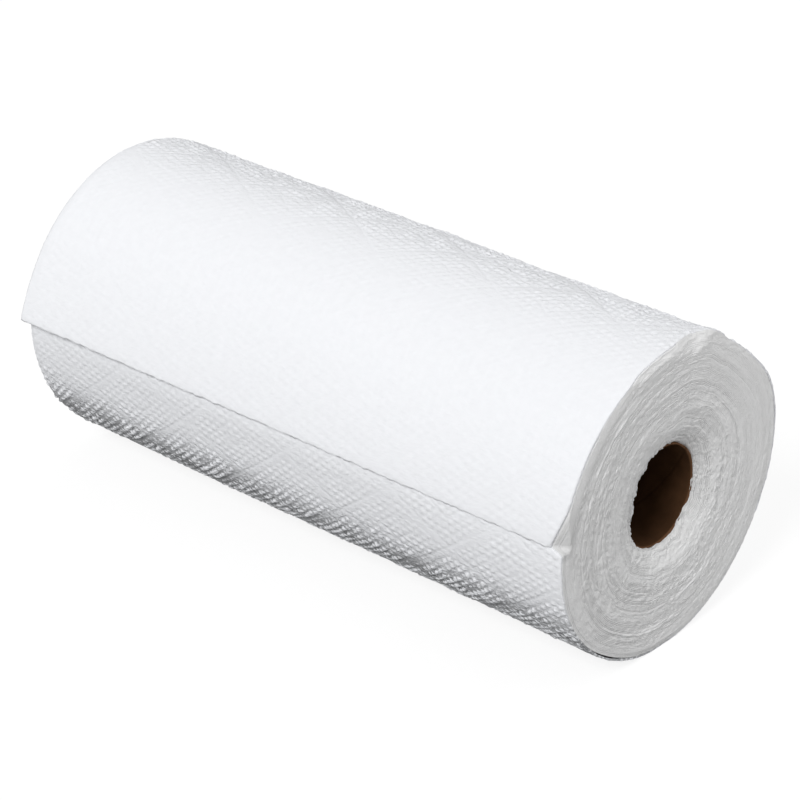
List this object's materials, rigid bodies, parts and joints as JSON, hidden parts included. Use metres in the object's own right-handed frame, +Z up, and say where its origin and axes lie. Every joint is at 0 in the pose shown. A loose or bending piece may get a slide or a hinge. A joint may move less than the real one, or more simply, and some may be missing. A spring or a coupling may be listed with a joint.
{
  "type": "paper towel roll",
  "caption": "Roll of embossed paper kitchen towel wound on a plain paperboard core, lying on its side with the sheet's free end lifting off the roll.",
  "frame": {"origin": "middle of the flat spot that the roll lies on, under the middle of its axis", "axes": "+X along the roll's axis towards the near end, where the core is set back; +Z up; the sheet's free end is on the -Y side"},
  "size_m": [0.2794, 0.1293, 0.125],
  "materials": {
    "towel_paper": "soft matt white tissue, embossed with nested lozenges and fine ribs",
    "core_board": "bare brown paperboard, wound in a helix"
  },
  "bodies": {
    "root": {"towel_web": "towel_paper", "core": "core_board"}
  },
  "joints": []
}
